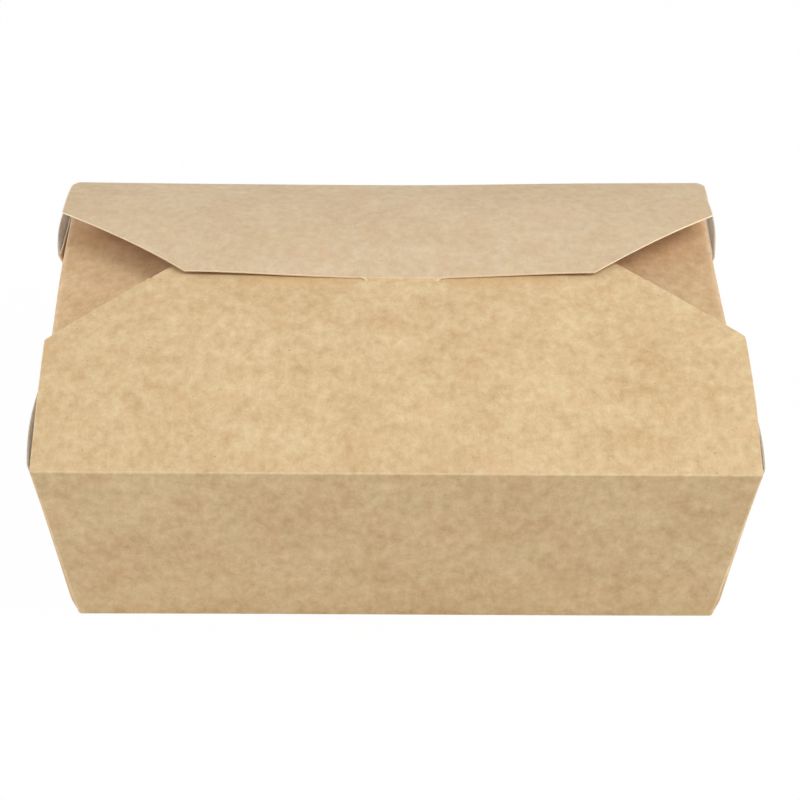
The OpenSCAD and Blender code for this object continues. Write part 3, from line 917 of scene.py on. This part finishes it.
def back_flap():
    """Back flap with its tuck tab, from the tab's tip to the rolled rear crease."""
    tip_y = FREE_Y - TAB_L
    tab_ys = stations((tip_y, tip_y + TIP_ROUND, 6), (tip_y + TIP_ROUND, FREE_Y - TAB_FILLET, 8),
                      (FREE_Y - TAB_FILLET, FREE_Y, FILLET_ROWS))[:-1]
    ys = stations((FREE_Y, FREE_Y + RIM, 1), (FREE_Y + RIM, FREE_Y + 3, 3),
                  (FREE_Y + 3, BACK_STOP - CLOSE, 20), (BACK_STOP - CLOSE, BACK_STOP + CLOSE, 4),
                  (BACK_STOP + CLOSE, BACK_CLOSE_FROM, 10), (BACK_CLOSE_FROM, BACK_START[0], 8))
    turn = crease_turn(SIDE_LEAN, BACK_TILT)
    rows = [("tab", y) for y in tab_ys] + [("flap", y) for y in ys]
    rows += [("crease", d) for d in reversed(turn[:-1])]
    first = len(tab_ys)

    def tab_half(y, right):
        """Half width of the tab, which is rounded into the free edge and at its tip."""
        from_root = FREE_Y - y
        if from_root < TAB_FILLET:
            across = HOOK_RIGHT if right else TAB_FILLET
            return TAB_W / 2 + across * (1 - math.sqrt(1 - (1 - from_root / TAB_FILLET) ** 2))
        taper = TAB_TAPER * (from_root - TAB_FILLET) / (TAB_L - TAB_FILLET)
        return TAB_W / 2 - taper - TIP_ROUND * fade(TAB_L - from_root, TIP_ROUND) ** 2

    def half_at(y, right=True):
        chamfer = BACK_CHAMFER + (BACK_ASKEW_RIGHT if right else BACK_ASKEW_LEFT)
        return side_width(CREASE_Y - y, BACK_SIDE, chamfer, BACK_REACH, BACK_CUT_R)

    def x_at(col, row):
        step, v = rows[row]
        right = col > CENTRE
        if step == "tab":
            inner = tab_half(v, right)
            return spread(inner, inner + TAB_WASTE)[col] + TAB_X
        y, half = (v, half_at(v, right)) if step == "flap" else (BEAD_Y, CREASE_X)
        x = spread(TAB_W / 2 + (HOOK_RIGHT if right else TAB_FILLET), half)[col]
        share = abs(x) / CREASE_X
        drawn = DRAWN_IN * fade(BEAD_Y - y, DRAWN_RUN) ** 2
        if x < 0:
            return askew_tab(x, half) + (drawn - LEFT_OUT) * share ** 3
        slack = SLACK * max(0.0, min(1.0, (SLACK_FROM - y) / SLACK_RUN))
        slack *= ease((y - SLACK_TO) / SLACK_TO_RUN)
        return askew_tab(x, half) - (drawn + slack) * share ** 3

    def place(col, row):
        step, v = rows[row]
        x = x_at(col, row)
        if step == "crease":
            return (x, BEAD_Y + FOLD_R * v[0], BEAD_Z + FOLD_R * v[1] - rear_bow(x))
        y = v + SHORTER * ease((SHORTER_FROM - v) / SHORTER_RUN)
        if step == "tab":
            return (x, y, tab_z(x, y))
        z = back_z(x, y, max(half_at(v), CREASE_X - BACK_CHAMFER))
        z -= rear_bow(x) * ease((v - BOW_FROM) / BOW_RUN)
        wave = BACK_WAVE * wander(x, v, BACK_WAVE_REACH, BACK_WAVE_SEED)
        wave *= ease((BACK_WAVE_FROM - v) / BACK_WAVE_FROM_RUN)
        z += wave * ease((v - BACK_WAVE_TO) / BACK_WAVE_TO_RUN)
        return (x, y, z)

    def keep(col, row):
        return row >= first or abs(col + 0.5 - CENTRE) < INNER_COLUMNS

    def flat(col, row):
        step, v = rows[row]
        along = v if step != "crease" else BEAD_Y + 1 + math.atan2(v[0], v[1])
        return (x_at(col, row), along * ARCH_STRETCH + BACK_FLAT_AT)

    def finish(col, row):
        """0 for the flap, 1 for the tab and 2 for the row beside the wall's fold."""
        if row < first:
            return 1
        return 2 if row == len(rows) - 2 else 0

    def wear_and_painted_light(col, row):
        """Pale along the free edge, the side edges and the tab's rounded root: partly wear, partly painted
        highlight of the lit cut edges.
        """
        from_centre = abs(col - CENTRE)
        if row == first:
            return SIDE_WEAR_AND_HIGHLIGHT if from_centre < INNER_COLUMNS else EDGE_WEAR_AND_HIGHLIGHT
        at_root = first - FILLET_ROWS < row < first and from_centre == INNER_COLUMNS
        return EDGE_WEAR_AND_HIGHLIGHT if col in (0, 2 * CENTRE) or at_root else 0.0

    mesh = sheet("back_flap_board", FLAP_COLUMNS, len(rows), place, flat, keep, finish, wear_and_painted_light)
    board_piece("back_flap_board", mesh, "back_flap", "kraft_board_lid", LID_BOARD, BODY_BOARD, LID_FOLD)


# The base

BASE_FLAT_AT = -200


def base():
    """Flat bottom panel between the four base folds."""
    columns, rows = 30, 22
    half_x, half_y = BASE_L / 2 - BASE_R, BASE_W / 2 - BASE_R

    def place(col, row):
        return settled(half_x * (1 - 2 * col / (columns - 1)), half_y * (2 * row / (rows - 1) - 1), 0.0)

    def flat(col, row):
        x, y, _ = place(col, row)
        return (x, y + BASE_FLAT_AT)

    mesh = sheet("base_panel", columns, rows, place, flat)
    board_piece("base_panel", mesh, "carton", "kraft_board", BODY_FOLD)


long_wall("front_wall", -1)
long_wall("back_wall", 1)
end_wall("left_end", -1)
end_wall("right_end", 1)
front_flap()
back_flap()
base()

# Floor, light and camera, in metres

WHITE = (1, 1, 1, 1)

# The floor's grey under the light, and the share of pure white that the camera and a reflection see in it:
# the rest keeps the carton's shadow
FLOOR_HALF, FLOOR_GREY, FLOOR_SHOWN, FLOOR_REFLECTED = 3.0, 0.88, 0.98, 0.25

# Strength of the white surroundings as light on the carton. The camera sees them at strength 1
WORLD_LIGHT = 0.03

# Each softbox's name, place, width and height, and power. All of them face the carton's middle
SOFTBOXES = (
    ("key_softbox", (0.5, -0.35, 1.1), (0.7, 0.7), 6.1),
    ("right_low_softbox", (1.25, -0.1, 0.32), (0.5, 0.4), 3.0),
    ("right_softbox", (1.0, -0.25, 0.75), (0.9, 0.9), 6.1),
    ("left_softbox", (-1.0, -0.25, 0.75), (0.9, 0.9), 5.0),
    ("rear_left_softbox", (-1.0, 0.55, 0.5), (0.6, 0.5), 3.8),
    ("front_softbox", (-0.7, -1.2, 0.55), (1.0, 0.8), 5.0),
    ("back_softbox", (0.0, 0.9, 0.9), (1.2, 0.6), 2.2),
)
CARTON_MIDDLE = Vector((0, 0, 0.05))

# The camera that took the photograph, as it was fitted to the carton's outline, with angles in radians
CAMERA_AT = (-0.017232, -0.64047, 0.50472)
PITCH, YAW, ROLL = 0.636406, 0.0306879, 0.0209917
FOCAL_PIXELS, PHOTO_PIXELS, SENSOR_MM = 2442.78, 800, 36


def floor():
    bm = bmesh.new()
    bmesh.ops.create_grid(bm, x_segments=1, y_segments=1, size=FLOOR_HALF)
    mesh = bpy.data.meshes.new("floor")
    bm.to_mesh(mesh)
    bm.free()
    obj = bpy.data.objects.new("floor", mesh)
    bpy.context.collection.objects.link(obj)
    look = Look("white_floor")
    look.set(Base_Color=(FLOOR_GREY, FLOOR_GREY, FLOOR_GREY, 1), Roughness=0.9, Specular_IOR_Level=0.0)
    rays = look.tree.nodes.new("ShaderNodeLightPath")
    camera, glossy, through = (
        Value(look, rays.outputs[f"Is {kind} Ray"]) for kind in ("Camera", "Glossy", "Transmission"))
    seen = camera * FLOOR_SHOWN + (glossy + through) * FLOOR_REFLECTED
    glow = look.node("ShaderNodeEmission", {}, {"Color": WHITE, "Strength": 1.0})
    both = look.node("ShaderNodeMixShader", {}, {0: seen, 1: Value(look, look.shader.outputs[0]), 2: glow})
    look.plug(look.tree.nodes["Material Output"].inputs["Surface"], both)
    mesh.materials.append(look.material)


def studio_world():
    """White to the camera and in reflections, and only a little light on the carton."""
    world = bpy.data.worlds.new("studio")
    bpy.context.scene.world = world
    world.use_nodes = True
    tree = world.node_tree
    tree.nodes.clear()
    rays = tree.nodes.new("ShaderNodeLightPath")
    seen = tree.nodes.new("ShaderNodeMath")
    seen.operation = "MAXIMUM"
    tree.links.new(rays.outputs["Is Camera Ray"], seen.inputs[0])
    tree.links.new(rays.outputs["Is Glossy Ray"], seen.inputs[1])
    blend = tree.nodes.new("ShaderNodeMixShader")
    tree.links.new(seen.outputs[0], blend.inputs[0])
    for socket, strength in ((1, WORLD_LIGHT), (2, 1.0)):
        white = tree.nodes.new("ShaderNodeBackground")
        white.inputs["Color"].default_value = WHITE
        white.inputs["Strength"].default_value = strength
        tree.links.new(white.outputs[0], blend.inputs[socket])
    out = tree.nodes.new("ShaderNodeOutputWorld")
    tree.links.new(blend.outputs[0], out.inputs["Surface"])


def softbox(name, place, size, power):
    lamp = bpy.data.lights.new(name, "AREA")
    lamp.shape = "RECTANGLE"
    lamp.size, lamp.size_y = size
    lamp.energy = power
    obj = bpy.data.objects.new(name, lamp)
    obj.location = place
    obj.rotation_euler = (CARTON_MIDDLE - Vector(place)).to_track_quat("-Z", "Y").to_euler()
    bpy.context.collection.objects.link(obj)


def photo_camera():
    ahead = Vector((math.sin(YAW) * math.cos(PITCH), math.cos(YAW) * math.cos(PITCH), -math.sin(PITCH)))
    level = Vector((math.cos(YAW), -math.sin(YAW), 0))
    upright = level.cross(ahead)
    right = level * math.cos(ROLL) + upright * math.sin(ROLL)
    up = upright * math.cos(ROLL) - level * math.sin(ROLL)
    lens = bpy.data.cameras.new("camera")
    lens.sensor_width = SENSOR_MM
    lens.lens = FOCAL_PIXELS * SENSOR_MM / PHOTO_PIXELS
    lens.clip_start = 0.01
    obj = bpy.data.objects.new("camera", lens)
    obj.matrix_world = Matrix.Translation(CAMERA_AT) @ Matrix((right, up, -ahead)).transposed().to_4x4()
    bpy.context.collection.objects.link(obj)
    bpy.context.scene.camera = obj


floor()
studio_world()
for box in SOFTBOXES:
    softbox(*box)
photo_camera()
bpy.context.scene.view_settings.view_transform = "Standard"
